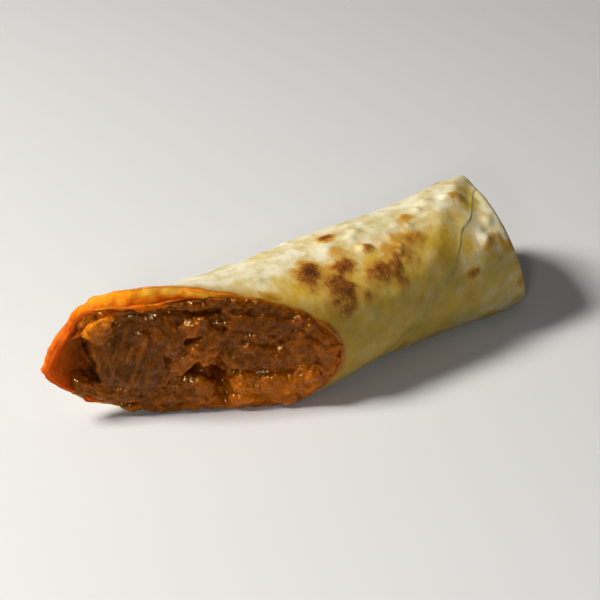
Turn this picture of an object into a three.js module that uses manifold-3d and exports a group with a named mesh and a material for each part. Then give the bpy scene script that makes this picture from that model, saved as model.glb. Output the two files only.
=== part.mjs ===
// Half of a butter chicken roll, cut on the slant: a flatbread rolled more than one and a half times
// round a saucy chicken filling, and tucked shut at its far end.
// Millimetres, +Z up. The roll lies on its underside at Z = 0 and +X runs from the cut to the tucked end.
// The origin is the middle of the bounding box, on the underside.

import * as THREE from "three";
import { ImprovedNoise } from "three/addons/math/ImprovedNoise.js";
import { mergeVertices } from "three/addons/utils/BufferGeometryUtils.js";
import Module from "manifold-3d";

const { degToRad, lerp, radToDeg, smoothstep } = THREE.MathUtils;

// The roll as a whole.
const ROLL_WIDTH = 44;
const ROLL_HEIGHT = 42;
const AXIS_LENGTH = 118; // from the middle of the cut to the middle of the tucked end
const SAG = 3.2; // how much of the round section is pressed flat where the roll rests

// The cut and the tucked end, as planes that lean.
const CUT_ANGLE = degToRad(30.5); // between the cut and the roll's axis, seen from above
const CUT_LEAN = -0.2; // mm along X per mm of height
const END_SLANT = 0.3; // mm along X per mm of Y
const END_LEAN = -0.35; // mm along X per mm of height

// The flatbread. A turn is in degrees round the axis: 0 at the back, 90 on top, 180 in front, 270 below.
const BREAD = 1.8;
const END_BREAD = 2.8; // thicker where the end is folded over
const LAP_GAP = 0.45;
const FIRST_TURN = -335;
const LAST_TURN = 260;
const LEVEL_TURN = 130; // here the outer lap lies at the nominal width and height
const EDGE_AT_END = 102; // the turn where the outer lap's free edge would reach the tucked end
const EDGE_SWEEP = 165; // degrees that the free edge climbs along the whole length
const EDGE_HOOK = 18; // degrees by which it turns back just before the end
const HOOK_SHARE = 0.11; // share of the length that the hook takes
const EDGE_TAPER = 18; // degrees in which the lap thins to its free edge and lies down
const EDGE_SHARE = 0.5; // share of the thickness left there
const EDGE_SINK = 0.2;
const END_BULGE = 1.6; // the folded end is this much fuller
const SETTLE = 24; // degrees past the free edge in which the lap below it comes down to the table
const LIP = 0.45; // share of the thickness left at the rounded lip of the end
const LIFT = 4.2; // how far the bread stands up at the cut
const LIFT_TURN = 63;
const LIFT_SPREAD = 59; // degrees to either side
const LIFT_REACH = 24; // mm along the roll
const COLLAR = 2.4; // how much further it turns up right at the cut
const COLLAR_REACH = 7;
const LIFT_LOSS = 0.9; // share of the lift that the inner lap loses where the laps have parted
const PART_FROM = 42; // between these turns they part
const PART_TO = 78;
const SOGGY = 0.8; // share of that parting which the outer lap's wet, swollen dough takes up
const WAVE = 0.7; // soft unevenness of the dough
const WAVE_LENGTH = 21;
const CORNER = 0.9; // softness of the bend between the round sides and the flat underside
const WRAP_STEPS = 60;
const LENGTH_STEPS = 24;
const CROWDING = 0.62; // how much closer the rows stand at the cut and at the end

// The tucked end, closed inside its lip.
const TUCK_DEPTH = 6;
const TUCK_BREAD = 2.6;
const TUCK_BITE = 0.9; // how far its edge runs into the inner lap
const TUCK_DOME = 3;
const TUCK_FOLDS = 5;
const TUCK_FOLD_DEPTH = 4;
const TUCK_SWIRL = 3; // radians that a fold turns on its way out

// The filling, with its pieces given as middle and half sizes on the cut face:
// along the cut from its left tip to its right tip, up, and out of the cut.
const CLEARANCE = 0.6;
const FILL_END = 0.9; // share of the roll's length that it fills
const FILL_LIFT = 0.08; // share of the bread's lift that it follows
const FILL_SET_BACK = 4; // behind the cut
const FILL_SHRINK = 8; // further behind it at the left tip
const PIECE_REACH = 14; // no piece stands further out of the cut
const PRESS = 2.6; // about as far as the knife let them stand out
const STEP_LEAD = 14; // degrees by which it clears the start of the inner lap
const FILL_STEPS = 40;
const FILL_ROWS = 9;
const LUMPINESS = 0.22;
const LUMP_DETAIL = 1.7; // bumps per half size
const PIECES = {
  leftChunk: { at: [-17, 22, -4], size: [13, 15, 9], tilt: 8 },
  leftChunkCorner: { at: [-23.4, 33.6, 0.5], size: [7, 3.2, 5.5], tilt: 38 },
  smallMiddlePiece: { at: [3.2, 31, 0], size: [6.5, 3.4, 5.5], tilt: 22 },
  sauceInTheMiddle: { at: [-5, 26, -2], size: [7, 9, 5], tilt: 0 },
  ridgeOfSauce: { at: [-1, 20, 0], size: [10.5, 3.2, 5.5], tilt: 40 },
  rightMass: { at: [20, 19, -4.5], size: [15, 10, 11], tilt: -6 },
  slabUnderTheTop: { at: [22, 31.5, -4], size: [13, 4.6, 7.5], tilt: -10 },
  rightSauce: { at: [34, 21, -2], size: [7.5, 9.5, 5.5], tilt: 20 },
  leftSauce: { at: [-19, 8.5, -2], size: [11.5, 4.4, 6.5], tilt: 6 },
  leftDrop: { at: [-4, 9.5, -2.5], size: [9.5, 4.4, 6], tilt: 12 },
  middleDrop: { at: [2, 8.5, -1], size: [4, 4.4, 5.5], tilt: -10 },
  middleLobe: { at: [13.5, 9.5, 0.5], size: [5.5, 5, 7.5], tilt: 24 },
  rightLobe: { at: [24, 9, 1], size: [9, 5.4, 8.5], tilt: 6 },
  rightDrop: { at: [33, 11, 0], size: [7, 5.4, 6.5], tilt: 30 },
};

const HALF_WIDTH = ROLL_WIDTH / 2;
const HALF_HEIGHT = (ROLL_HEIGHT + SAG) / 2;
const AXIS_HEIGHT = HALF_HEIGHT - SAG;
const noise = new ImprovedNoise();
const wasm = await Module();
wasm.setup();

function cutX(y, z) {
  return -y / Math.tan(CUT_ANGLE) + CUT_LEAN * (z - AXIS_HEIGHT);
}

function endX(y, z) {
  return AXIS_LENGTH + END_SLANT * y + END_LEAN * (z - AXIS_HEIGHT);
}

// The dough's thickness, the spacing of its laps and the outer lap's free edge, where v is the share
// of the way from the cut to the tucked end.
function doughAt(v) {
  return lerp(BREAD, END_BREAD, smoothstep(v, 0.8, 0.95));
}

function pitchAt(v) {
  return doughAt(v) + LAP_GAP;
}

function freeEdgeTurn(v) {
  const hook = EDGE_HOOK * (1 - smoothstep(1 - v, 0, HOOK_SHARE));
  return Math.min(LAST_TURN, EDGE_AT_END + EDGE_SWEEP * (1 - v) - hook);
}

// How far the sheet's outer face lies inside the nominal section.
function lapDepth(turn, v) {
  return ((LEVEL_TURN - turn) / 360) * pitchAt(v) - END_BULGE * smoothstep(v, 0.7, 0.95);
}

// How far the innermost face of the bread lies inside it, all round. The inner lap starts as a step.
function innerDepth(turn, v, lead) {
  const past = (((turn + lead - FIRST_TURN) % 360) + 360) % 360;
  return lapDepth(FIRST_TURN + past, v) + doughAt(v);
}

// The larger of two heights, with a soft corner between them.
function softMax(a, b) {
  const near = Math.max(CORNER - Math.abs(a - b), 0) / CORNER;
  return Math.max(a, b) + (near * near * CORNER) / 4;
}

// How far the bread stands up near the cut, fading to the sides and along the roll.
function liftAt(turn, fromCut) {
  const offPeak = ((((turn - LIFT_TURN) % 360) + 540) % 360) - 180;
  const round = smoothstep(LIFT_SPREAD - Math.abs(offPeak), 0, LIFT_SPREAD);
  const collar = COLLAR * (1 - smoothstep(fromCut, 0, COLLAR_REACH));
  return round * (LIFT * (1 - smoothstep(fromCut, 0, LIFT_REACH)) + collar);
}

// The share of the lift that the inner lap loses.
function parting(turn) {
  return LIFT_LOSS * smoothstep(((turn % 360) + 360) % 360, PART_FROM, PART_TO);
}

// A point of the roll, `depth` inside the nominal section and no lower than `floor`. It follows
// `liftShare` of the lift, and `swell` is the share by which it stays deeper, as the wet dough does.
function rollPoint(turn, v, depth, floor, liftShare, swell = 0) {
  const angle = degToRad(turn);
  const section = (inset, lift) => {
    const y = (HALF_WIDTH - inset) * Math.cos(angle);
    const z = softMax(AXIS_HEIGHT + (HALF_HEIGHT - inset) * Math.sin(angle), floor) + lift;
    return new THREE.Vector3(lerp(cutX(y, z), endX(y, z), v), y, z);
  };
  const plain = section(depth, 0);
  const around = HALF_WIDTH / WAVE_LENGTH;
  const wave = noise.noise(plain.x / WAVE_LENGTH, around * Math.cos(angle), around * Math.sin(angle));
  const lift = liftAt(turn, plain.x - cutX(plain.y, plain.z));
  return section(depth - WAVE * wave + swell * lift, liftShare * lift);
}

// A point of the rolled flatbread: u along the wrap, v along the roll, t through the dough.
function breadPoint(u, v, t) {
  const edge = freeEdgeTurn(v);
  const turn = lerp(FIRST_TURN, edge, u);
  const atEdge = smoothstep(turn, edge - EDGE_TAPER, edge);
  const thinned = lerp(t, lerp(1 - EDGE_SHARE, 1, t), atEdge);
  const inset = doughAt(v) * (0.5 + (thinned - 0.5) * (v < 1 ? 1 : LIP)) + EDGE_SINK * atEdge;
  const covered = 1 - smoothstep(turn, edge - 360, edge - 360 + SETTLE);
  const inner = turn < LAST_TURN - 360;
  const liftShare = inner ? 1 - parting(turn) : 1;
  const swell = inner ? 0 : SOGGY * parting(turn) * t;
  return rollPoint(turn, v, lapDepth(turn, v) + inset, inset + covered * pitchAt(v), liftShare, swell);
}

function toSolid(geometry) {
  const bare = new THREE.BufferGeometry();
  bare.setAttribute("position", geometry.getAttribute("position"));
  bare.setIndex(geometry.index);
  const merged = mergeVertices(bare, 1e-4);
  const triVerts = new Uint32Array(merged.index.array);
  const vertProperties = new Float32Array(merged.attributes.position.array);
  return new wasm.Manifold(new wasm.Mesh({ numProp: 3, vertProperties, triVerts }));
}

function toGeometry(solid) {
  const mesh = solid.getMesh();
  const geometry = new THREE.BufferGeometry();
  geometry.setAttribute("position", new THREE.BufferAttribute(new Float32Array(mesh.vertProperties), 3));
  geometry.setIndex(new THREE.BufferAttribute(new Uint32Array(mesh.triVerts), 1));
  return geometry;
}

function largest(solid) {
  return solid.decompose().reduce((a, b) => (a.volume() > b.volume() ? a : b));
}

function mapVertices(geometry, place) {
  const position = geometry.getAttribute("position");
  for (let i = 0; i < position.count; i += 1) {
    const point = place(position.getX(i), position.getY(i), position.getZ(i));
    position.setXYZ(i, point.x, point.y, point.z);
  }
  return geometry;
}

// The flatbread starts as a flat slab and is rolled up. Its rows stand closer at the cut and at the end.
const slab = new THREE.BoxGeometry(1, 1, 1, WRAP_STEPS, LENGTH_STEPS, 1);
const sheet = mapVertices(slab, (x, y, z) => {
  const row = y + 0.5;
  const v = row < 1 ? row - (CROWDING * Math.sin(2 * Math.PI * row)) / (2 * Math.PI) : 1;
  return breadPoint(x + 0.5, v, 0.5 - z);
});

// The tuck is a thin lens of dough with soft folds, pressed into the inner lap behind the lip.
const lens = new THREE.SphereGeometry(1, 40, 8);
const tuck = mapVertices(lens, (x, y, z) => {
  const turn = radToDeg(Math.atan2(-z, x));
  const share = Math.hypot(x, z);
  const v = 1 - TUCK_DEPTH / AXIS_LENGTH;
  const rim = rollPoint(turn, v, innerDepth(turn, v, -STEP_LEAD) - TUCK_BITE, END_BREAD, 0);
  const point = new THREE.Vector3(0, 0, AXIS_HEIGHT).lerp(rim, share);
  const fold = Math.cos(TUCK_FOLDS * degToRad(turn) + TUCK_SWIRL * share) * share * (1 - share);
  const dome = 1 - share * share;
  const side = Math.sign(y) * Math.sqrt(Math.abs(y));
  point.x = endX(point.y, point.z) - TUCK_DEPTH;
  point.x += TUCK_DOME * dome + TUCK_FOLD_DEPTH * fold + (TUCK_BREAD / 2) * side;
  return point;
});

// The space inside the bread, from `setBack` mm behind the cut to the tuck.
function insideBread(setBack) {
  const drum = new THREE.CylinderGeometry(1, 1, 1, FILL_STEPS, FILL_ROWS);
  return mapVertices(drum, (x, y, z) => {
    const turn = radToDeg(Math.atan2(-z, x));
    const share = Math.hypot(x, z);
    const v = FILL_END * (y + 0.5);
    const floor = BREAD + pitchAt(v) + CLEARANCE;
    const depth = innerDepth(turn, v, STEP_LEAD) + CLEARANCE;
    const rim = rollPoint(turn, v, depth, floor, FILL_LIFT);
    const point = new THREE.Vector3(AXIS_LENGTH * v, 0, AXIS_HEIGHT).lerp(rim, share);
    point.x += setBack(turn, share) * (0.5 - y) ** 3;
    return point;
  });
}

// A lump with uneven sides, set on the cut face.
function lump({ at, size, tilt }, index) {
  const ball = new THREE.IcosahedronGeometry(1, 2);
  mapVertices(ball, (x, y, z) => {
    const place = new THREE.Vector3(x, y, z).multiplyScalar(LUMP_DETAIL);
    const swell = 1 + LUMPINESS * noise.noise(place.x + 7 * index, place.y, place.z);
    return new THREE.Vector3(...size).multiply(new THREE.Vector3(x, y, z)).multiplyScalar(swell);
  });
  const along = new THREE.Vector3(Math.cos(CUT_ANGLE), -Math.sin(CUT_ANGLE), 0);
  const up = new THREE.Vector3(0, 0, 1);
  const out = new THREE.Vector3().crossVectors(along, up);
  ball.rotateZ(degToRad(tilt));
  ball.translate(...at);
  mapVertices(ball, (x, y, z) => new THREE.Vector3(x, y, z > 0 ? PRESS * Math.tanh(z / PRESS) : z));
  ball.applyMatrix4(new THREE.Matrix4().makeBasis(along, up, out));
  ball.translate(CUT_LEAN * (at[1] - AXIS_HEIGHT), 0, 0);
  return toSolid(ball);
}

// The core stands back from the cut, most of all at its left tip, and the pieces stand out of it.
const core = insideBread((turn, share) => {
  return FILL_SET_BACK + FILL_SHRINK * share * Math.max(0, Math.cos(degToRad(turn)));
});
const reach = insideBread(() => -PIECE_REACH);
const heap = Object.values(PIECES).reduce((sum, piece, index) => sum.add(lump(piece, index)), toSolid(core));
const solids = {
  flatbread: largest(toSolid(sheet).add(toSolid(tuck))),
  filling: largest(heap.intersect(toSolid(reach))),
};

const materials = {
  flatbread: new THREE.MeshStandardMaterial({ color: 0xe6d8b4, roughness: 0.75, metalness: 0 }),
  filling: new THREE.MeshStandardMaterial({ color: 0xb5622a, roughness: 0.4, metalness: 0 }),
};

const group = new THREE.Group();
const box = new THREE.Box3();
for (const [name, solid] of Object.entries(solids)) {
  const mesh = new THREE.Mesh(toGeometry(solid), materials[name]);
  mesh.name = name;
  mesh.geometry.computeBoundingBox();
  box.union(mesh.geometry.boundingBox);
  group.add(mesh);
}
const middle = box.getCenter(new THREE.Vector3());
for (const mesh of group.children) {
  mesh.position.set(-middle.x, -middle.y, -box.min.z);
}

export default group;
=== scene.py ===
import math
import random

import bpy
import numpy as np
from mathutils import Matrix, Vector, noise


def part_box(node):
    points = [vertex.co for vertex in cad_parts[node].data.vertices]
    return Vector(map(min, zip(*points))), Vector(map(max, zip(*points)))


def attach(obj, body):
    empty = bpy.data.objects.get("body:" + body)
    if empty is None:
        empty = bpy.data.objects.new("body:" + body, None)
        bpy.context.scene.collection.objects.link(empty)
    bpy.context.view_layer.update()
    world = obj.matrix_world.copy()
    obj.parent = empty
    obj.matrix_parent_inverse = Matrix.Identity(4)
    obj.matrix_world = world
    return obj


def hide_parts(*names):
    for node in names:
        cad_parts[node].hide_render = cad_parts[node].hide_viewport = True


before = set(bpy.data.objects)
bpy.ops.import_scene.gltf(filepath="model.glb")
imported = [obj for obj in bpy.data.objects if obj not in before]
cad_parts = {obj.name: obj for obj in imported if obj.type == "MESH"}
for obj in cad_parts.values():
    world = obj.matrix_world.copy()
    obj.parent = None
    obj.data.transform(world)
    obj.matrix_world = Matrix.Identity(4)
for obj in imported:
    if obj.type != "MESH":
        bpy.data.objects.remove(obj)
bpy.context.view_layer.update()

# Flatbread
# One sheet of wheat dough, griddled until it blisters and browns in spots, then rolled up warm round the
# filling, more than one and a half times. Its outer lap ends in a free edge that runs slantwise over the
# front, and the far end is folded in, so that the dough is thicker there.

# Lengths are in mm. Turns are in degrees: 0 at the back, 90 at the top, 180 in front and 270 below, and a
# lap further in is 360 less. v is the share of the way from the cut to the tucked end.
MM = 0.001
ROLL_WIDTH = 44
ROLL_HEIGHT = 42
AXIS_LENGTH = 118
SAG = 3.2
HALF_WIDTH = ROLL_WIDTH / 2
HALF_HEIGHT = (ROLL_HEIGHT + SAG) / 2
AXIS_HEIGHT = HALF_HEIGHT - SAG
CUT_ANGLE = math.radians(30.5)
CUT_LEAN = -0.2
END_SLANT = 0.3
END_LEAN = -0.35
DOUGH = 1.8
END_DOUGH = 2.8
LAP_GAP = 0.45
FIRST_TURN = -335
LAST_TURN = 260
LEVEL_TURN = 130
EDGE_AT_END = 102
EDGE_SWEEP = 165
EDGE_HOOK = 18
HOOK_SHARE = 0.11
EDGE_TAPER = 27
EDGE_SHARE = 0.13
EDGE_SINK = 0.58
EDGE_DENT = 4
DENT_AT = 0.84
DENT_SPREAD = 0.05
EDGE_WAVER = 1.5
WAVER_LENGTH = 9
END_BULGE = 1.6
SETTLE = 24
LIFT = 4.2
LIFT_TURN = 63
LIFT_SPREAD = 59
LIFT_REACH = 24
LIFT_LOSS = 0.9
COLLAR = 1.5
COLLAR_REACH = 7
PART_FROM = 42
PART_TO = 78
CORNER = 0.9
CUT_TO_TIP = 36.1
cut_middle = np.array([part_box("flatbread")[0][0] / MM + CUT_TO_TIP, 0, 0])


def soft_step(x, low, high):
    """0 up to low, 1 from high on, and a soft rise between them."""
    t = np.clip((x - low) / (high - low), 0, 1)
    return t * t * (3 - 2 * t)


def soft_span(x, start, full, fading, end):
    """0 up to start, 1 from full to fading, and 0 again from end on."""
    return soft_step(x, start, full) * (1 - soft_step(x, fading, end))


def cut_x(y, z):
    """Where the slanted cut crosses the roll."""
    return -y / math.tan(CUT_ANGLE) + CUT_LEAN * (z - AXIS_HEIGHT)


def end_x(y, z):
    """Where the tucked end crosses the roll."""
    return AXIS_LENGTH + END_SLANT * y + END_LEAN * (z - AXIS_HEIGHT)


def dough_at(v):
    """How thick the sheet is, more where it is folded."""
    return DOUGH + (END_DOUGH - DOUGH) * soft_step(v, 0.8, 0.95)


def pitch_at(v):
    """How far one lap lies inside the next."""
    return dough_at(v) + LAP_GAP


def free_edge_turn(v):
    """The turn that the sheet ends at, with a hook close to the tucked end."""
    hook = EDGE_HOOK * (1 - soft_step(1 - v, 0, HOOK_SHARE))
    return np.minimum(LAST_TURN, EDGE_AT_END + EDGE_SWEEP * (1 - v) - hook)


def lap_depth(turn, v):
    """How deep the sheet's outer side lies inside the nominal section."""
    return (LEVEL_TURN - turn) / 360 * pitch_at(v) - END_BULGE * soft_step(v, 0.7, 0.95)


def inner_depth(turn, v):
    """How deep the innermost lap's inner side lies."""
    past = np.mod(turn - FIRST_TURN, 360)
    return lap_depth(FIRST_TURN + past, v) + dough_at(v)


def lift_at(turn, from_cut):
    """How far the outer lap stands up over the cut."""
    off_peak = np.mod(turn - LIFT_TURN + 180, 360) - 180
    round_share = soft_step(LIFT_SPREAD - np.abs(off_peak), 0, LIFT_SPREAD)
    rise = LIFT * (1 - soft_step(from_cut, 0, LIFT_REACH))
    rise = rise + COLLAR * (1 - soft_step(from_cut, 0, COLLAR_REACH))
    return round_share * rise


def inner_lift(turn):
    """The share of that rise that the inner lap takes, less where the two laps part."""
    return 1 - LIFT_LOSS * soft_step(np.mod(turn, 360), PART_FROM, PART_TO)


def rolled(turn, v, depth, floor, lift_share):
    """Points of the roll in mm, depth inside the nominal section and no lower than floor."""
    angle = np.radians(turn)
    y = (HALF_WIDTH - depth) * np.cos(angle)
    z = AXIS_HEIGHT + (HALF_HEIGHT - depth) * np.sin(angle)
    near = np.maximum(CORNER - np.abs(z - floor), 0) / CORNER
    z = np.maximum(z, floor) + near * near * CORNER / 4
    x = cut_x(y, z) + (end_x(y, z) - cut_x(y, z)) * v
    z = z + lift_share * lift_at(turn, x - cut_x(y, z))
    x = cut_x(y, z) + (end_x(y, z) - cut_x(y, z)) * v
    return np.stack([x, y, z], axis=-1)


def rough(points, scale, seed):
    """Smooth noise from -1 to 1 at each point, with lumps about scale mm long."""
    shift = Vector((seed * 17.3, seed * 5.1, seed * 9.7))
    return np.array([noise.noise(Vector(p) / scale + shift) for p in points])


def waves(points, *layers):
    """Noise in layers, each given by its height, the length of its lumps in mm and a seed."""
    return sum(height * rough(points, scale, seed) for height, scale, seed in layers)


def points_of(piece):
    """A piece's vertices in mm, counted from the middle of the cut."""
    flat = np.empty(len(piece.data.vertices) * 3)
    piece.data.vertices.foreach_get("co", flat)
    return flat.reshape(-1, 3) / MM - cut_middle


def place_points(piece, points):
    piece.data.vertices.foreach_set("co", ((points + cut_middle) * MM).ravel())
    piece.data.update()


def keep_layer(piece, name, values):
    layer = piece.data.attributes.new(name, "FLOAT", "POINT")
    layer.data.foreach_set("value", np.asarray(values, dtype=np.float32))


WRAP_STEPS = 240
LENGTH_STEPS = 176
HIDDEN_SHARE = 0.2
OUTER_TURNS = 375
ROW_CROWDING = 0.25
SOGGY = 0.96
LIP_ROUND = 1.0
LIP_REACH = 1.8
LIP_THINNING = 1.6
FIRST_TAPER = 24
UNEVEN_DOUGH = 0.15
LEFT_LIP = 1.3
MOST_DOUGH = 9
TRIM_IN = 2.6
TRIM_OUT = 2.0
SAUCED_BACK = 0.4
HUNG_BACK = 2.0
bpy.ops.object.select_all(action="DESELECT")
bpy.ops.mesh.primitive_grid_add(x_subdivisions=WRAP_STEPS, y_subdivisions=LENGTH_STEPS, size=MM)
flatbread = bpy.context.object
flatbread.name = "rolled_flatbread"
sheet = points_of(flatbread) + cut_middle
wrap = sheet[:, 0] + 0.5
row = sheet[:, 1] + 0.5
along = row - ROW_CROWDING * np.sin(2 * np.pi * row) / (2 * np.pi)
edge_turn = free_edge_turn(along) - EDGE_DENT * np.exp(-((along - DENT_AT) / DENT_SPREAD) ** 2)
along_axis = along[:, None] * np.array([[float(AXIS_LENGTH), 0, 0]])
edge_turn = edge_turn + EDGE_WAVER * rough(along_axis, WAVER_LENGTH, 31)
hidden_turn = FIRST_TURN + (edge_turn - OUTER_TURNS - FIRST_TURN) * wrap / HIDDEN_SHARE
outer_turn = edge_turn - OUTER_TURNS * (1 - wrap) / (1 - HIDDEN_SHARE)
turn = np.where(wrap < HIDDEN_SHARE, hidden_turn, outer_turn)
inner_lap = turn < LAST_TURN - 360
covered = turn < edge_turn - 360
settled = 1 - soft_step(turn, edge_turn - 360, edge_turn - 360 + SETTLE)
sheet_floor = settled * pitch_at(along)
lift_share = np.where(inner_lap, inner_lift(turn), 1)
at_edge = soft_step(turn, edge_turn - EDGE_TAPER, edge_turn)
edge_depth = lap_depth(turn, along) + at_edge * (EDGE_SINK + (1 - EDGE_SHARE) * dough_at(along))
plain_skin = rolled(turn, along, edge_depth, sheet_floor, lift_share)
from_cut = plain_skin[:, 0] - cut_x(plain_skin[:, 1], plain_skin[:, 2])
to_end = end_x(plain_skin[:, 1], plain_skin[:, 2]) - plain_skin[:, 0]
lip_round = LIP_ROUND * (1 - np.sqrt(1 - np.clip(1 - to_end / LIP_REACH, 0, 1) ** 2))
edge_depth += lip_round

# Toasted spots: mm from the cut's middle, turn, half length along, half width round, browning, rise.
toasted_spots = [
    # The first spot, at the cut, is partly a toasted spot and partly a painted shadow of the roll's other
    # half.
    (19.5, 122, 3.8, 2.6, 0.80, 0.20),
    (50.4, 86, 3.0, 2.2, 0.80, 0.35),
    (49.1, 105, 3.0, 2.4, 0.40, 0.25),
    (36.4, 116, 5.2, 4.8, 0.84, 0.40),
    (38.0, 108, 3.4, 3.0, 0.45, 0.20),
    (47.5, 122, 3.6, 3.2, 0.80, 0.45),
    (43.8, 140, 4.8, 4.8, 0.90, 0.50),
    (41.0, 131, 6.0, 6.0, 0.35, 0.15),
    (40.5, 147, 5.0, 4.4, 0.50, 0.20),
    (50.3, 148, 2.6, 2.4, 0.70, 0.30),
    (58.5, 113, 2.2, 2.0, 0.60, 0.80),
    (58.6, 135, 5.4, 3.8, 0.72, 0.45),
    (55.0, 131, 3.2, 2.8, 0.50, 0.30),
    (63.4, 131, 3.6, 2.8, 0.50, 0.50),
    (63.3, 147, 3.0, 2.4, 0.55, 0.30),
    (69.5, 121, 8.0, 6.0, 0.40, 0.40),
    (65.5, 125, 5.0, 4.0, 0.32, 0.35),
    (74.5, 116, 4.0, 3.4, 0.30, 0.25),
    (78.4, 96, 3.0, 2.2, 0.50, 0.35),
    (98.5, 94, 3.2, 2.4, 0.40, 0.80),
    (100.5, 143, 5.0, 3.4, 0.36, 0.70),
    (106.8, 153, 3.4, 2.6, 0.45, 0.30),
    (91.6, 163, 3.2, 2.0, 0.65, 0.40),
    (111.6, 188, 2.6, 2.4, 0.50, 0.30),
    (62.0, 190.6, 0.6, 0.6, 0.95, 0.10),
]
# Pale blisters: mm from the cut's middle, turn, radius, rise.
blisters = [
    (60.3, 92, 2.4, 0.8), (57.0, 96, 1.6, 0.6), (88.4, 89, 2.6, 0.8), (84.0, 92, 1.8, 0.6),
    (103.9, 125, 2.4, 0.9), (56.5, 111, 1.6, 0.9), (95.3, 92, 2.0, 0.8), (76.0, 108, 1.6, 0.6),
    (99.0, 139, 2.2, 0.9), (73.0, 100, 1.8, 0.5), (68.5, 121, 1.4, 0.7), (66.8, 125, 1.2, 0.6),
]
# Butter that has soaked in: mm from the cut's middle, turn, half length along, half width round, how much.
buttered_spots = [
    (84.0, 140, 6.0, 12.0, 0.95), (95.0, 114, 6.0, 6.0, 0.60), (93.0, 140, 5.0, 9.0, 0.60),
    (104.0, 88, 6.0, 3.0, 0.70), (66.0, 186, 44.0, 20.0, 0.75), (70.0, 130, 14.0, 9.0, 0.50),
    (45.0, 150, 16.0, 12.0, 0.70), (100.0, 175, 20.0, 18.0, 0.55), (112.0, 185, 5.0, 6.0, 0.70),
    (101.0, 101, 5.0, 5.0, 0.80),
]
# More of each on the back, the underside and between those above.
draw = random.Random(7).uniform
for _ in range(60):
    blisters.append((draw(-25, 110), draw(-30, 76), draw(1, 2.4), draw(0.2, 0.5)))
    blisters.append((draw(10, 112), draw(76, 250), draw(0.8, 1.6), draw(0.1, 0.25)))
for _ in range(18):
    toasted_spots.append((
        draw(-10, 108), draw(-30, 52), draw(2, 5), draw(2, 4), draw(0.3, 0.9), draw(0.2, 0.45)))
for _ in range(6):
    toasted_spots.append((
        draw(44, 106), draw(208, 262), draw(2, 4), draw(2, 3.5), draw(0.3, 0.7), draw(0.2, 0.4)))
for _ in range(5):
    buttered_spots.append((draw(0, 105), draw(-30, 70), draw(5, 14), draw(4, 9), 0.6))


def off_spot(x_spot, turn_spot):
    """How far each point of the sheet lies from a spot, in mm along the roll and in mm round it."""
    round_off = np.radians(np.mod(turn - turn_spot + 180, 360) - 180) * HALF_WIDTH
    return plain_skin[:, 0] - x_spot, round_off


ragged = waves(plain_skin, (1, 5, 1), (0.6, 2.2, 2), (0.35, 1.1, 9))
toast = np.zeros(len(sheet))
butter = 0.75 * soft_step(turn, 90, 128) * (1 - 0.4 * soft_step(turn, 200, 260))
height = waves(plain_skin, (0.7, 24, 3), (0.3, 8, 4), (0.1, 3, 5))
for x_spot, turn_spot, half_length, half_width, browning, rise in toasted_spots:
    dx, dy = off_spot(x_spot, turn_spot)
    reach = np.maximum(np.hypot(dx / half_length, dy / half_width) + 0.5 * ragged, 0)
    toast = 1 - (1 - toast) * (1 - browning * soft_step(1.45 - reach, 0, 1.3))
    toast = 1 - (1 - toast) * (1 - 0.1 * browning * np.exp(-0.4 * reach ** 2))
    height += rise * (1 - soft_step(reach, 0.2, 1.25))
for x_spot, turn_spot, half_length, half_width, soak in buttered_spots:
    dx, dy = off_spot(x_spot, turn_spot)
    reach = np.hypot(dx / half_length, dy / half_width) + 0.2 * ragged
    butter = np.maximum(butter, soak * (1 - soft_step(reach, 0.3, 1.3)))
for x_spot, turn_spot, radius, rise in blisters:
    dx, dy = off_spot(x_spot, turn_spot)
    reach = np.hypot(dx, dy) / radius + 0.12 * ragged
    height += rise * (1 - soft_step(reach, 0, 1.4))
    # The blister tops are made paler, with less toast and butter: partly pale dough, partly a painted
    # highlight where the light catches the bumps.
    pale_top_and_highlight = min(1.6 * rise, 1) * (1 - soft_step(reach, 0.2, 1.1))
    toast *= 1 - 0.6 * pale_top_and_highlight
    butter *= 1 - 0.7 * pale_top_and_highlight
height *= soft_step(turn, edge_turn - 372, edge_turn - 350)
height *= 0.2 + 0.8 * soft_step(from_cut, 3, 16)
skin = rolled(turn, along, edge_depth - height, sheet_floor, lift_share)
clock = np.mod(turn, 360)
rim_share = 1 - soft_step(from_cut, 0, 6)
sauced_rim = soft_span(clock, 100, 122, 300, 325)
hung_rim = soft_span(clock, 226, 250, 300, 325)
ragged_rim = (1 - 0.7 * sauced_rim) * waves(plain_skin, (1.2, 6, 6), (0.8, 2.2, 7))
off_left = np.mod(clock + 180, 360) - 174
trimmed = TRIM_IN * np.exp(-((clock - 31) / 12) ** 2) - TRIM_OUT * np.exp(-(off_left / 18) ** 2)
skin[:, 0] += rim_share * (ragged_rim + trimmed + SAUCED_BACK * sauced_rim + HUNG_BACK * hung_rim)
place_points(flatbread, skin)

left_rim = 1 - soft_step(np.abs(np.mod(clock + 30, 360) - 35), 38, 60)
thickness = dough_at(along) * (1 - (1 - EDGE_SHARE) * at_edge)
thickness += np.where(inner_lap, 0, SOGGY * (1 - inner_lift(turn)) * lift_at(turn, from_cut))
thickness += np.where(inner_lap, 0, LEFT_LIP * left_rim * (1 - soft_step(from_cut, 0.5, 6)))
thickness -= LIP_THINNING * lip_round
first_edge = 0.4 + 0.6 * soft_step(turn, FIRST_TURN, FIRST_TURN + FIRST_TAPER)
thickness *= (1 + UNEVEN_DOUGH * rough(plain_skin, 5, 8)) * first_edge
sauce_reach = 1 - 1.6 * soft_step(clock, 95, 125) + 9 * soft_step(clock, 215, 260)
sauce_reach -= 8.6 * soft_step(clock, 268, 300)
outer_lap = np.where(inner_lap, 0, 1)
collar = soft_span(clock, 44, 62, 100, 116) * (1 - soft_step(from_cut, 6, 16)) * outer_lap
pale = soft_span(clock, 74, 88, 100, 112) * outer_lap
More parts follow.
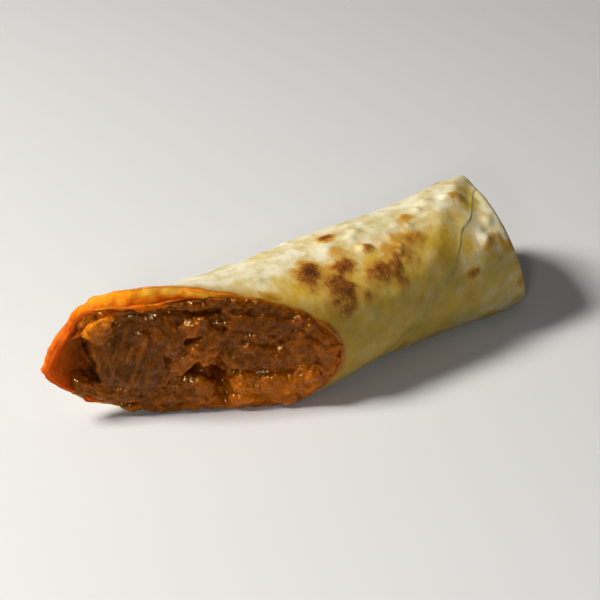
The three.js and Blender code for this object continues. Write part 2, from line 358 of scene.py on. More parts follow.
# Painted shade: the lower front and underside get a darker olive colour for the shade they lie in, and a
# strip just past the free edge gets it as the painted shadow of the lip.
damp = soft_span(clock, 128, 172, 245, 290)
past_edge = np.maximum(turn - edge_turn + 360, 0)
lip_shadow = np.exp(-(past_edge / 13) ** 2) * soft_step(along, 0.55, 0.7) * (along < 0.97)
damp = np.maximum(damp, lip_shadow)
smeared = np.maximum(sauced_rim, 1 - soft_step(turn, FIRST_TURN, FIRST_TURN + 12))
dough_group = flatbread.vertex_groups.new(name="dough")
for index, dough_share in enumerate(thickness / MOST_DOUGH):
    dough_group.add([index], float(dough_share), "REPLACE")
sheet_layers = {
    "toast": toast, "butter": butter, "at_edge": at_edge, "from_cut": from_cut, "sauce_reach": sauce_reach,
    "collar": collar, "pale": pale, "smeared": smeared, "damp": damp, "covered": covered}
for layer_name, layer_values in sheet_layers.items():
    keep_layer(flatbread, layer_name, layer_values)


class Wire:
    """A shader socket that works in sums: each operator on it adds a Math node."""

    def __init__(self, tree, socket=None):
        self.tree = tree
        self.socket = socket

    def node(self, kind, settings, inputs, output=0):
        made = self.tree.nodes.new(kind)
        for name, value in settings.items():
            if name == "stops":
                stops = made.color_ramp.elements
                while len(stops) < len(value):
                    stops.new(1)
                for stop, (place, tone) in zip(stops, value):
                    stop.position = place
                    stop.color = tone
            else:
                setattr(made, name, value)
        for name, value in inputs.items():
            if isinstance(value, Wire):
                self.tree.links.new(value.socket, made.inputs[name])
            else:
                made.inputs[name].default_value = value
        return Wire(self.tree, made.outputs[output])

    def math(self, operation, *values):
        return self.node("ShaderNodeMath", {"operation": operation}, dict(enumerate(values)))

    def __add__(self, other):
        return self.math("ADD", self, other)

    def __sub__(self, other):
        return self.math("SUBTRACT", self, other)

    def __rsub__(self, other):
        return self.math("SUBTRACT", other, self)

    def __mul__(self, other):
        return self.math("MULTIPLY", self, other)

    __radd__ = __add__
    __rmul__ = __mul__

    def between(self, low, high):
        """A soft step from 0 at low to 1 at high."""
        return self.node("ShaderNodeMapRange", {"interpolation_type": "SMOOTHSTEP"},
                         {"Value": self, "From Min": low, "From Max": high})

    def mix(self, first, second):
        """The first colour where this is 0 and the second where it is 1."""
        return self.node("ShaderNodeMix", {"data_type": "RGBA"}, {0: self, 6: first, 7: second}, 2)

    def lumps(self, scale, detail=2.0, roughness=0.5):
        """Noise from 0 to 1 on the object's own coordinates, with lumps about scale mm long."""
        place = self.node("ShaderNodeTexCoord", {}, {}, "Object")
        return self.node("ShaderNodeTexNoise", {}, {
            "Vector": place, "Scale": 1 / (scale * MM), "Detail": detail, "Roughness": roughness})

    def crackle(self, scale):
        """Cells about scale mm across, from 0 in the cracks between them to 1."""
        place = self.node("ShaderNodeTexCoord", {}, {}, "Object")
        wander = self.node("ShaderNodeTexNoise", {}, {
            "Vector": place, "Scale": 0.7 / (scale * MM)}, "Color")
        wander = self.node("ShaderNodeVectorMath", {"operation": "SCALE"}, {
            0: wander, "Scale": 1.2 * scale * MM})
        place = self.node("ShaderNodeVectorMath", {"operation": "ADD"}, {0: place, 1: wander})
        cells = self.node("ShaderNodeTexVoronoi", {"feature": "DISTANCE_TO_EDGE"}, {
            "Vector": place, "Scale": 1 / (scale * MM)}, "Distance")
        return cells.between(0, 0.3)

    def layer(self, name):
        return self.node("ShaderNodeAttribute", {"attribute_name": name}, {}, "Fac")

    def bump(self, height, distance, strength):
        return self.node("ShaderNodeBump", {}, {
            "Height": height, "Distance": distance * MM, "Strength": strength})


def shade(red, green, blue):
    """A display colour from 0 to 255 as the linear colour that a shader takes."""
    shares = [part / 255 for part in (red, green, blue)]
    return tuple(s / 12.92 if s <= 0.04045 else ((s + 0.055) / 1.055) ** 2.4 for s in shares) + (1,)


def new_material(name, fixed):
    """A material with its fixed sockets set, its shader, and a Wire to build the rest from."""
    material = bpy.data.materials.new(name)
    material.use_nodes = True
    shader = material.node_tree.nodes["Principled BSDF"]
    for socket, value in fixed.items():
        shader.inputs[socket].default_value = value
    return material, shader, Wire(material.node_tree)


def plug(shader, links):
    for socket, wire in links.items():
        wire.tree.links.new(wire.socket, shader.inputs[socket])


def baked_dough(wire, toast_layer, butter_layer):
    """Cream dough with floury and buttery patches, browned where it met the griddle."""
    flour = wire.lumps(9, 3).between(0.36, 0.66)
    cream = flour.mix(shade(212, 196, 144), shade(231, 223, 194))
    buttery = (butter_layer + (wire.lumps(5, 3) - 0.5) * 0.8).between(0.05, 0.95)
    cream = (buttery * 0.94).mix(cream, shade(223, 177, 38))
    mottle = wire.lumps(3.6, 3, 0.5)
    cream = (mottle.between(0.48, 0.7) * 0.5).mix(cream, shade(190, 154, 58))
    cream = ((1 - mottle.between(0.3, 0.5)) * (0.5 - buttery * 0.4)).mix(cream, shade(236, 230, 200))
    speckle = (wire.lumps(0.8, 3, 0.65) - 0.5) * 0.55 + (wire.lumps(2.4, 3) - 0.5) * 0.7
    browned = toast_layer + (speckle + (0.55 - wire.crackle(1.2)) * 0.16) * toast_layer
    golden = browned.between(0.08, 0.42).mix(cream, shade(202, 150, 58))
    brown = browned.between(0.4, 0.74).mix(golden, shade(150, 88, 28))
    return browned.between(0.7, 0.98).mix(brown, shade(96, 48, 16)), buttery


DRY_DOUGH = {
    "Subsurface Weight": 0.25, "Subsurface Radius": (1.0, 0.55, 0.25), "Subsurface Scale": 0.003,
    "Coat Roughness": 0.35}
WET_DOUGH = {
    "Subsurface Weight": 0.6, "Subsurface Radius": (1.0, 0.75, 0.4), "Subsurface Scale": 0.003,
    "IOR": 1.3, "Specular Tint": (1.0, 0.6, 0.15, 1)}
griddled, griddled_shader, wire = new_material("griddled_dough", {
    **DRY_DOUGH, "IOR": 1.36, "Specular Tint": (1.0, 0.8, 0.36, 1)})
skin_colour, buttery = baked_dough(wire, wire.layer("toast"), wire.layer("butter"))
# Painted shade: darker olive on the lower front and underside, and in the lip's painted shadow beside the
# free edge.
painted_shade_share = wire.layer("damp") * (0.35 + wire.lumps(6, 3) * 0.5)
skin_colour = painted_shade_share.mix(skin_colour, shade(128, 109, 36))
past_sauce = wire.layer("from_cut") - wire.lumps(4, 3) * 4 - wire.layer("sauce_reach")
stain = 1 - past_sauce.between(-2, 2.2)
stained = ((1 - past_sauce.between(-1, 9)) * 0.85).mix(skin_colour, shade(178, 136, 36))
stained = stain.between(0, 0.6).mix(stained, shade(160, 98, 18))
thin_sauce = wire.lumps(2.2, 3, 0.6).between(0.35, 0.65).mix(shade(138, 66, 5), shade(176, 98, 14))
# In the collar the stain turns a bright orange: partly sauce, partly a painted glow, as if lit through the
# raised lap.
stained = stain.between(0.4, 1).mix(stained, wire.layer("collar").mix(thin_sauce, shade(232, 136, 26)))
wet_lap = wire.layer("covered") * (1 - wire.layer("from_cut").between(15, 30))
stained = wet_lap.mix(stained, shade(208, 92, 8))
grain = wire.lumps(0.7, 3, 0.6) * 0.5 + wire.lumps(2.2, 2) + wire.crackle(1.2) * wire.layer("toast") * 0.6
plug(griddled_shader, {
    "Base Color": stained,
    "Roughness": 0.66 - buttery * 0.2 - stain * 0.25 + wet_lap * 0.3,
    "Coat Weight": (buttery * 0.1 + stain * 0.2) * (1 - wet_lap),
    "Normal": wire.bump(grain, 0.25, 0.5)})

sauced, sauced_shader, wire = new_material("sauced_dough", WET_DOUGH)
smear = wire.lumps(3.5, 4, 0.6)
# Sauce-soaked inner wall: partly the sauce's own red, partly painted light. It is darker deeper in as
# painted shade inside the roll, brighter orange near the cut and brighter still in the collar as a painted
# glow, as if lit through the thin dough.
wall_painted_light = smear.between(0.35, 0.68).mix(shade(104, 40, 3), shade(160, 72, 6))
wall_painted_light = (wire.layer("from_cut") + smear * 7).between(4, 12).mix(shade(212, 84, 2), wall_painted_light)
wall_painted_glow = smear.between(0.3, 0.7).mix(shade(206, 84, 3), shade(224, 106, 6))
wall_painted_light = wire.layer("collar").mix(wall_painted_light, wall_painted_glow)
dry_wall = smear.between(0.35, 0.65).mix(shade(214, 190, 128), shade(230, 214, 166))
plug(sauced_shader, {
    "Base Color": wire.layer("from_cut").between(55, 80).mix(wall_painted_light, dry_wall),
    "Roughness": 0.42 + smear * 0.4,
    "Normal": wire.bump(smear + wire.lumps(1.1, 2) * 0.4, 0.7, 0.6)})

cut_dough, cut_dough_shader, wire = new_material("cut_dough", WET_DOUGH)
crumb = wire.lumps(2.5, 3, 0.5)
pores = wire.lumps(0.9, 3, 0.6)
soaked = 1 - wire.layer("from_cut").between(12, 24)
layers = crumb * 0.9 + wire.layer("through") * 0.5 - 0.1
lip = layers.between(0.25, 0.85).mix(shade(236, 122, 5), shade(170, 62, 1))
# The collar's band is partly the crumb's own sauce-soaked orange and partly a painted glow: brighter
# yellow-orange, as if lit through the thin raised lap.
band_painted_glow = wire.lumps(7, 1).between(0.42, 0.62).mix(shade(255, 158, 10), shade(255, 200, 44))
band_painted_glow = layers.between(0.3, 0.95).mix(band_painted_glow, shade(228, 98, 2))
band_painted_glow = ((1 - layers.between(0.3, 0.6)) * wire.layer("pale")).mix(band_painted_glow, shade(252, 190, 84))
wet_crumb = wire.layer("collar").mix(lip, band_painted_glow)
sauce_film = crumb.between(0.3, 0.7).mix(shade(120, 56, 3), shade(168, 84, 5))
wet_crumb = wire.layer("smeared").mix(wet_crumb, sauce_film)
dry_crumb = crumb.between(0.35, 0.65).mix(shade(206, 178, 104), shade(230, 214, 164))
plug(cut_dough_shader, {
    "Base Color": soaked.mix(dry_crumb, wet_crumb),
    "Roughness": 0.4 + crumb * 0.35,
    "Normal": wire.bump(crumb + pores * 0.5, 0.7, 0.6)})
for material in (griddled, sauced, cut_dough):
    flatbread.data.materials.append(material)

RIM_CUTS = 4
RIM_ROUND = 0.5
solidify = flatbread.modifiers.new("dough", "SOLIDIFY")
solidify.thickness = MOST_DOUGH * MM
solidify.offset = -1
solidify.vertex_group = "dough"
solidify.material_offset = 1
solidify.material_offset_rim = 2
bpy.ops.object.modifier_apply(modifier="dough")
keep_layer(flatbread, "through", np.arange(len(flatbread.data.vertices)) >= len(sheet))
under_lap = np.tile(covered & (from_cut < 12), 2)
rim_faces = {}
for face in flatbread.data.polygons:
    if face.material_index == 0 and all(under_lap[index] for index in face.vertices):
        face.material_index = 1
    for ends in face.edge_keys:
        rim_faces[ends] = rim_faces.get(ends, 0) + (face.material_index == 2)
bpy.ops.object.mode_set(mode="EDIT")
bpy.ops.mesh.select_mode(type="EDGE")
bpy.ops.mesh.select_all(action="DESELECT")
bpy.ops.object.mode_set(mode="OBJECT")
for edge in flatbread.data.edges:
    edge.select = rim_faces[edge.key] == 2
bpy.ops.object.mode_set(mode="EDIT")
bpy.ops.mesh.subdivide(number_cuts=RIM_CUTS)
bpy.ops.object.mode_set(mode="OBJECT")
bpy.ops.object.shade_smooth()


def normals_of(piece):
    flat = np.empty(len(piece.data.vertices) * 3, dtype=np.float32)
    piece.data.vertices.foreach_get("normal", flat)
    return flat.reshape(-1, 3).astype(float)


def layer_of(piece, name):
    values = np.empty(len(piece.data.vertices), dtype=np.float32)
    piece.data.attributes[name].data.foreach_get("value", values)
    return values.astype(float)


def angle_round(points):
    """The angle round the roll's axis that each point lies at."""
    return np.arctan2((points[:, 2] - AXIS_HEIGHT) / HALF_HEIGHT, points[:, 1] / HALF_WIDTH)


bread = points_of(flatbread)
wet_rim = 1 - soft_step(bread[:, 0] - cut_x(bread[:, 1], bread[:, 2]), 0.5, 4)
lumpy = waves(bread, (0.6, 3, 14), (0.22, 1.4, 15))
bread += normals_of(flatbread) * (wet_rim * lumpy)[:, None]
through = layer_of(flatbread, "through")
at_cut = 1 - soft_step(layer_of(flatbread, "from_cut"), 0.0, 0.3)
bread -= normals_of(flatbread) * (at_cut * RIM_ROUND * (2 * through - 1) ** 4)[:, None]
feather = through * (layer_of(flatbread, "at_edge") > 0.995)
bread_angle = angle_round(bread)
bread[:, 1] -= feather * np.sin(bread_angle)
bread[:, 2] += feather * np.cos(bread_angle)
bread[:, 2] = np.maximum(bread[:, 2], 0)
place_points(flatbread, bread)
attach(flatbread, "root")
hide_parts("flatbread")

# Tucked end
# The far end of the same sheet, folded in before the last turn and pressed flat, so that it closes
# the roll. Three flaps lie over each other there, each with a rounded fold.
TUCK_DEPTH = 5.2
TUCK_DOME = 1.4
TUCK_DOUGH = 2.6
TUCK_BITE = 0.9
FLAP_DOUGH = 1.5
FOLD_ROUND = 0.5
# Each flap: the side it was folded in from, as a turn, and how many mm its fold stops short of the middle.
FLAPS = [(262, 2.5), (152, -1.5), (28, 3.0)]


def leaned(first, second, degrees):
    """Two coordinates on axes that lean by an angle."""
    lean = math.radians(degrees)
    return (first * math.cos(lean) + second * math.sin(lean),
            second * math.cos(lean) - first * math.sin(lean))


bpy.ops.object.select_all(action="DESELECT")
bpy.ops.mesh.primitive_uv_sphere_add(segments=160, ring_count=96, radius=MM)
tuck = bpy.context.object
tuck.name = "tucked_end"
ball = points_of(tuck) + cut_middle
tuck_turn = np.degrees(np.arctan2(ball[:, 1], ball[:, 0]))
from_middle = np.minimum(np.hypot(ball[:, 0], ball[:, 1]), 1)
tuck_v = np.full(len(ball), 1 - TUCK_DEPTH / AXIS_LENGTH)
tuck_reach = np.min([inner_depth(tuck_turn + step, tuck_v) for step in (-24, -16, -8, 0, 8, 14)], axis=0)
tuck_rim = rolled(tuck_turn, tuck_v, tuck_reach - TUCK_BITE, END_DOUGH, 0)
middle = np.array([0, 0, AXIS_HEIGHT])
closed = middle + (tuck_rim - middle) * from_middle[:, None]
flat_place = np.stack([0 * from_middle, closed[:, 1], closed[:, 2]], -1)
folds = waves(flat_place, (0.5, 9, 11), (0.25, 3.5, 12))
worn = np.zeros(len(ball))
for flap_turn, short in FLAPS:
    inward, _ = leaned(closed[:, 1], closed[:, 2] - AXIS_HEIGHT, flap_turn)
    past_fold = inward - short + 1.2 * rough(flat_place, 8, flap_turn)
    rounded = FOLD_ROUND * np.exp(-((past_fold - 1.8) / 1.5) ** 2)
    folds += FLAP_DOUGH * soft_step(past_fold, -0.3, 1.3) + rounded
    crest = np.exp(-((past_fold - 2.2) / 1.6) ** 2)
    worn = np.maximum(worn * (1 - soft_step(past_fold, 0, 1)), crest)
side = np.sign(ball[:, 2]) * np.sqrt(np.abs(ball[:, 2]))
closed[:, 0] = end_x(closed[:, 1], closed[:, 2]) - TUCK_DEPTH + TUCK_DOME * (1 - from_middle ** 2)
closed[:, 0] += folds * (1 - 0.6 * soft_step(from_middle, 0.8, 1)) + TUCK_DOUGH / 2 * side
place_points(tuck, closed)
keep_layer(tuck, "toast", 0.75 * worn * soft_step(rough(flat_place, 6, 13), 0, 0.5))
keep_layer(tuck, "butter", 0.6 * soft_step(rough(flat_place, 8, 14), -0.1, 0.5))
folded, folded_shader, wire = new_material("folded_dough", {**DRY_DOUGH, "IOR": 1.4})
fold_colour, buttery = baked_dough(wire, wire.layer("toast"), wire.layer("butter"))
grain = wire.lumps(0.7, 3, 0.6) * 0.5 + wire.lumps(2.2, 2)
plug(folded_shader, {
    "Base Color": fold_colour, "Roughness": 0.68 - buttery * 0.2, "Normal": wire.bump(grain, 0.25, 0.5)})
tuck.data.materials.append(folded)
bpy.ops.object.shade_smooth()
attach(tuck, "root")
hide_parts("flatbread")

# Filling
# Chunks of boneless chicken simmered in a thick tomato, butter and cream sauce, packed in warm.
# At the cut the chunks stand out of the sauce, which hangs in drops over the bread's lower edge.
CUT_ALONG = np.array([math.cos(CUT_ANGLE), -math.sin(CUT_ANGLE), 0])
CUT_UP = np.array([0, 0, 1])
CUT_OUT = np.cross(CUT_ALONG, CUT_UP)
FILL_END = 0.9
FILL_LIFT = 0.08
FILL_SET_BACK = 4
FILL_SHRINK = 8
FILL_GAP = 0.2
VOXEL = 0.33
PRESS = 3.6
GRAIN_TURN = 55
HIDDEN_DEPTH = 9.5
COARSER = 0.14
RELIEF_DEPTH = 9
PLAIN_HUE = 0.45
LEAST_WEIGHT = 0.001
FILM = 0.3
FILM_FLOOR = 0.9
SCATTER_LONG = 38
SCATTER_TALL = 16
SCATTER_UP = 20
SCATTER_FROM = -9
BEAD_STEP = 4
BEAD_SPAN = np.array([-3.0, 0, 3.0])
# Each piece: its middle along the cut, up and out of it, half sizes, tilt, how orange it is, and the share
# of bare meat.
CHUNKS = [
    ((-17, 22, -5), (11.5, 14.5, 7.5), 8, 0.1, 0.8),
    ((-22.8, 31.6, -1.2), (5.0, 2.8, 4.0), 38, 0.5, 0.3),
    # The flake on the chunk's top-left corner is given a bright orange: partly the sauce on it, partly
    # painted light where that corner catches the light.
    ((-26.8, 31.7, 0.2), (2.5, 1.7, 3.2), 52, 0.78, 0.4),
    ((-24.4, 33.9, 0.8), (2.7, 2.0, 3.4), 36, 0.86, 0.4),
    ((-21.8, 35.6, 0.5), (2.5, 1.9, 3.2), 28, 0.95, 0.4),
    ((-19.8, 36.7, 0.0), (1.9, 1.6, 3.0), 20, 0.85, 0.3),
    ((3.2, 31, -1.8), (6.2, 3.2, 4.2), 22, 0.36, 0.2),
    ((-1, 20, -1.2), (10, 3.0, 4), 40, 0.5, 0.1),
    ((20, 19.5, -5), (13, 8.5, 7), -6, 0.26, 0.3),
    ((22, 31.5, -5), (12.5, 4.4, 6.5), -10, 0.16, 0.6),
    ((-4, 10, -4), (9, 4.0, 6), 12, 0.3, 0.1),
    ((2.0, 8.5, -2), (3.6, 4.0, 4.5), -10, 0.5, 0.0),
    ((13.5, 9.5, -2.2), (5, 5.0, 5), 24, 0.56, 0.0),
    ((24, 9, -2), (8.5, 5.4, 5.5), 6, 0.55, 0.0),
]
# Sauce between and below the pieces, given the same way.
SAUCE = [
    ((5, 20, -6.5), (33, 17, 5), 0, 0.25, 0.0),
    ((-30, 10, -3), (9, 4.4, 5), -24, 0.3, 0.0),
    ((-19, 8.5, -3), (11, 4, 5), 6, 0.26, 0.1),
    ((-8, 35, -4), (13, 3.4, 5), -2, 0.18, 0.1),
    ((-5, 27, -2.4), (6, 9, 5), 0, 0.26, 0.1),
    ((-8, 6.5, -2), (12, 3, 4), 0, 0.3, 0.0),
    ((18, 27, -3), (10, 3.4, 5), -8, 0.24, 0.0),
    ((34, 21, -3), (7, 9, 5), 20, 0.4, 0.1),
    ((33, 11, -1.5), (6.5, 5, 5), 30, 0.54, 0.0),
    ((8, 27, -3), (5, 6, 5), 10, 0.28, 0.1),
    ((2.1, 5.5, -0.5), (3.4, 2.4, 2.5), 0, 0.5, 0.0),
    ((12.4, 4.2, 0), (4.2, 2.6, 2.5), 8, 0.62, 0.0),
    ((24.5, 3.6, 0), (4.6, 2.6, 2.5), 4, 0.62, 0.0),
]
# Hollows that the knife left: along the cut and up, half sizes, tilt, depth.
HOLLOWS = [
    (7.2, 11.5, 1.5, 3.4, 18, 5.5), (10.3, 33.2, 3.4, 1.3, 24, 2.5), (-1.5, 13.6, 4.0, 1.1, 24, 1.2),
    (-12, 39.4, 12.0, 1.0, -2, 2.5), (-29.5, 24, 1.4, 9.0, 2, 3.0),
]


def on_cut(points):
    """Points given along the cut, up and out of it, as points of the roll."""
    placed = points[:, :1] * CUT_ALONG + points[:, 1:2] * CUT_UP + points[:, 2:] * CUT_OUT
    placed[:, 0] += CUT_LEAN * (points[:, 1] - AXIS_HEIGHT)
    return placed


def from_roll(points):
    """Points of the roll as along the cut, up and out of it."""
    lean = CUT_LEAN * (points[:, 2] - AXIS_HEIGHT)
    upright = points - np.stack([lean, 0 * lean, 0 * lean], -1)
    return np.stack([upright @ CUT_ALONG, points[:, 2], upright @ CUT_OUT], -1)


def pressed(out):
    """How far the knife lets something stand out of the cut."""
    return np.where(out > 0, PRESS * np.tanh(out / PRESS), out)


def blocky(bare):
    """The power that makes a ball a block, because bare meat keeps flat sides where it was cut."""
    return 0.92 - 0.4 * bare


def add_lump(at, size, tilt, bare, seed, detail, lumpiness):
    bpy.ops.mesh.primitive_ico_sphere_add(subdivisions=detail, radius=MM)
    lump = bpy.context.object
    ball = points_of(lump) + cut_middle
    swell = 1 + lumpiness * rough(ball * 1.7, 1, seed) + 0.4 * lumpiness * rough(ball * 4, 1, seed + 0.5)
    ball = np.sign(ball) * np.abs(ball) ** blocky(bare) * swell[:, None] * np.array(size)
    turned = np.stack([*leaned(ball[:, 0], ball[:, 1], -tilt), ball[:, 2]], -1)
    turned += np.array(at)
    turned[:, 2] = pressed(turned[:, 2])
    place_points(lump, on_cut(turned))
    return lump


bpy.ops.object.select_all(action="DESELECT")
bpy.ops.mesh.primitive_cylinder_add(vertices=72, radius=MM, depth=MM, end_fill_type="TRIFAN")
filling = bpy.context.object
filling.name = "chicken_filling"
bpy.ops.object.mode_set(mode="EDIT")
bpy.ops.mesh.select_all(action="DESELECT")
bpy.ops.object.mode_set(mode="OBJECT")
for edge in filling.data.edges:
    ends = [filling.data.vertices[index].co for index in edge.vertices]
    edge.select = abs(ends[0].z - ends[1].z) > 0.5 * MM
bpy.ops.object.mode_set(mode="EDIT")
bpy.ops.mesh.select_mode(type="EDGE")
bpy.ops.mesh.subdivide(number_cuts=24)
bpy.ops.object.mode_set(mode="OBJECT")
drum = points_of(filling) + cut_middle
drum_turn = np.degrees(np.arctan2(drum[:, 1], drum[:, 0]))
drum_share = np.hypot(drum[:, 0], drum[:, 1])
drum_v = FILL_END * (drum[:, 2] + 0.5)
drum_floor = DOUGH + pitch_at(drum_v) + FILL_GAP
drum_rim = rolled(drum_turn, drum_v, inner_depth(drum_turn, drum_v) + FILL_GAP, drum_floor, FILL_LIFT)
drum_axis = np.stack([AXIS_LENGTH * drum_v, 0 * drum_v, 0 * drum_v + AXIS_HEIGHT], -1)
core = drum_axis + (drum_rim - drum_axis) * drum_share[:, None]
set_back = FILL_SET_BACK + FILL_SHRINK * drum_share * np.maximum(0, np.cos(np.radians(drum_turn)))
core[:, 0] += set_back * (0.5 - drum[:, 2]) ** 3
place_points(filling, core)

heaped = [filling]
for number, (at, size, tilt, _, meat) in enumerate(CHUNKS + SAUCE):
    heaped.append(add_lump(at, size, tilt, meat, number, 5, 0.22))
draw = random.Random(21).uniform
for number in range(70):
    spin = draw(0, 2 * math.pi)
    out_share = math.sqrt(draw(0, 0.85))
    along_cut = SCATTER_LONG * out_share * math.cos(spin)
    at = (along_cut, SCATTER_UP + SCATTER_TALL * out_share * math.sin(spin), draw(-3.5, 0))
    size = [draw(1.4, 4.0), draw(1.2, 2.4), draw(1.5, 3)]
    if along_cut > SCATTER_FROM:
        heaped.append(add_lump(at, size, draw(-60, 60), 0, 30 + number, 3, 0.3))


def lie_of(rim):
    """How long a short stretch of rim is on the cut, in mm, and how it leans there, in degrees."""
    run, climb = rim[2, :2] - rim[0, :2]
    return np.hypot(run, climb), math.degrees(math.atan2(climb, run))


# Sauce that the knife drew over the bread's edge in front and below, then over the inner lap's edge above.
at_rim = np.zeros(3)
for number, rim_turn in enumerate(range(102, 304, BEAD_STEP)):
    three = rim_turn + BEAD_SPAN
    rim = from_roll(rolled(three, at_rim, DOUGH, DOUGH, 0))
    outer_rim = from_roll(rolled(three, at_rim, 0, 0, 0))
    length, tilt = lie_of(rim)
    half_length = length * draw(0.8, 1.1)
    overhang = np.hypot(*(rim[1, :2] - outer_rim[1, :2])) * draw(1.1, 1.4)
    at = (rim[1, 0], rim[1, 1] + draw(-0.3, 0.3), -1.6)
    size = (half_length, overhang, draw(1.6, 2.6))
    heaped.append(add_lump(at, size, tilt, 0, 120 + number, 3, 0.25))
for number, rim_turn in enumerate(range(40, 102, BEAD_STEP)):
    three = rim_turn + BEAD_SPAN
    mid_dough = lap_depth(three - 360, at_rim) + DOUGH / 2
    rim = from_roll(rolled(three, at_rim, mid_dough, DOUGH, inner_lift(three)))
    length, tilt = lie_of(rim)
    half_length = length * draw(0.8, 1.1)
    size = (half_length, draw(1.3, 1.6), draw(1.3, 2.0))
    heaped.append(add_lump((rim[1, 0], rim[1, 1], -0.7), size, tilt, 0, 180 + number, 3, 0.25))
bpy.ops.object.select_all(action="DESELECT")
for lump in heaped:
    lump.select_set(True)
bpy.context.view_layer.objects.active = filling
bpy.ops.object.join()
filling.data.remesh_voxel_size = VOXEL * MM
bpy.ops.object.voxel_remesh()


def evened(piece, values, rounds):
    """Values at a piece's vertices, averaged with their neighbours."""
    ends = np.empty(len(piece.data.edges) * 2, dtype=np.int32)
    piece.data.edges.foreach_get("vertices", ends)
    ends = ends.reshape(-1, 2)
    count = np.bincount(ends.ravel(), minlength=len(values))[:, None]
    values = values.reshape(len(values), -1)
    for _ in range(rounds):
        total = np.zeros_like(values)
        np.add.at(total, ends[:, 0], values[ends[:, 1]])
        np.add.at(total, ends[:, 1], values[ends[:, 0]])
        values = 0.5 * values + 0.5 * total / count
    return values


heap = evened(filling, points_of(filling), 3)
place_points(filling, heap)
hidden_group = filling.vertex_groups.new(name="hidden")
out_of_sight = np.flatnonzero(from_roll(heap)[:, 2] < -HIDDEN_DEPTH)
hidden_group.add([int(index) for index in out_of_sight], 1, "REPLACE")
decimate = filling.modifiers.new("coarser inside", "DECIMATE")
decimate.vertex_group = "hidden"
decimate.ratio = COARSER
bpy.ops.object.modifier_apply(modifier="coarser inside")
heap = points_of(filling)


def grains(points, size, seed):
    """Rounded grains about size mm across, from 0 in the creases between them to 1."""
    shift = Vector((seed * 3.7, seed * 8.1, seed * 5.9))
    near = np.array([noise.voronoi(Vector(p) / size + shift)[0][0] for p in points])
    return 1 - np.minimum(near / 0.8, 1) ** 2


cut_place = from_roll(heap)
front = cut_place[:, 2] > -RELIEF_DEPTH
bare = np.zeros(len(heap))
fibre = np.zeros(len(heap))
orange = np.full(len(heap), PLAIN_HUE * LEAST_WEIGHT)
weight = np.full(len(heap), LEAST_WEIGHT)
for number, (at, size, tilt, hue, meat) in enumerate(CHUNKS + SAUCE):
    off = cut_place - np.array(at)
    local = np.stack([*leaned(off[:, 0], off[:, 1], tilt), off[:, 2]], -1) / np.array(size)
    power = blocky(meat)
    swollen = np.sum(np.abs(local) ** (2 / power), axis=1) ** (power / 2)
    outside = (swollen - 1) * min(size)
    owned = np.exp(-np.maximum(outside, -1.5))
    bare += owned * meat
    orange += owned * hue
    weight += owned
    if meat > 0.15:
        strands = np.stack([*leaned(off[:, 0], off[:, 1], tilt + GRAIN_TURN), off[:, 2]], -1)
        strands = strands[front] * np.array([0.16, 1, 0.6])
        strand_relief = waves(strands, (1, 1.5, number), (0.5, 0.7, number + 50))
        fibre[front] += owned[front] * meat * strand_relief
orange /= weight
bare /= weight
fibre /= weight
grainy = (1 - 0.7 * bare) * (1 - 0.6 * soft_step(orange, 0.5, 0.64) * (1 - soft_step(bare, 0, 0.15)))
grainy *= soft_step(rough(heap, 9, 47), -0.7, 0.1) * soft_step(cut_place[:, 2], -RELIEF_DEPTH, -6)
bumps = 0.5 * rough(heap, 6, 42) + 0.4 * rough(heap, 3, 43) * (1 - 0.6 * bare)
shown = heap[front]
ridges = 0.55 * (0.4 - np.abs(rough(shown, 2.6, 49)))
ridges = ridges + 0.4 * (0.4 - np.abs(rough(shown, 1.3, 50)))
crumbly = np.zeros(len(heap))
crumbly[front] = 0.55 * grains(shown, 3.2, 44) + 0.3 * grains(shown, 1.7, 45) - 0.42
crumbly[front] += ridges
craggy = soft_step(orange, 0.6, 0.85) * waves(heap, (0.5, 2.2, 51), (0.35, 1.1, 52))
bumps += grainy * crumbly + 0.28 * fibre + craggy
heap = heap + normals_of(filling) * bumps[:, None]
facing = soft_step(normals_of(filling) @ CUT_OUT, 0, 0.4) * soft_step(cut_place[:, 2], -RELIEF_DEPTH, -5)
for along_cut, up_cut, half_length, half_width, tilt, depth in HOLLOWS:
    long_off, wide_off = leaned(cut_place[:, 0] - along_cut, cut_place[:, 1] - up_cut, tilt)
    sunk = depth * np.exp(-(long_off / half_length) ** 2 - (wide_off / half_width) ** 2) * facing
    heap = heap - sunk[:, None] * CUT_OUT

# Behind the cut the heap stays inside the bread, and in front of it the sauce covers the bread's edge.
heap_turn = np.mod(np.degrees(angle_round(heap)), 360)
heap_start = cut_x(heap[:, 1], heap[:, 2])
heap_v = np.clip((heap[:, 0] - heap_start) / (end_x(heap[:, 1], heap[:, 2]) - heap_start), 0, 1)
below = soft_step(heap_turn, 215, 245)
film_edge = from_roll(heap)[:, 2] + (0.5 + 0.6 * below) * rough(heap, 5, 48)
film_edge = film_edge + (0.3 + 0.3 * below) * rough(heap, 2.2, 46)
drawn = soft_step(film_edge + 0.9 + 1.7 * below, -0.4 - 0.4 * below, 0.4 + 0.4 * below)
drawn *= soft_span(heap_turn, 32, 44, 285, 318)
inner = inner_depth(heap_turn, heap_v) + FILL_GAP
inner_floor = DOUGH + pitch_at(heap_v) + FILL_GAP
film_turn = heap_turn - 360 * (1 - soft_step(heap_turn, 88, 112) * (heap_turn < LAST_TURN))
film_depth = lap_depth(film_turn, heap_v) - FILM
room_depth = inner + (film_depth - inner) * drawn
room_floor = inner_floor + (FILM_FLOOR - inner_floor) * drawn
room = rolled(heap_turn, heap_v, room_depth, room_floor, inner_lift(heap_turn))
room_size = np.hypot(room[:, 1], room[:, 2] - AXIS_HEIGHT)
heap_size = np.hypot(heap[:, 1], heap[:, 2] - AXIS_HEIGHT)
squeeze = np.minimum(1, room_size / heap_size)
heap[:, 1] *= squeeze
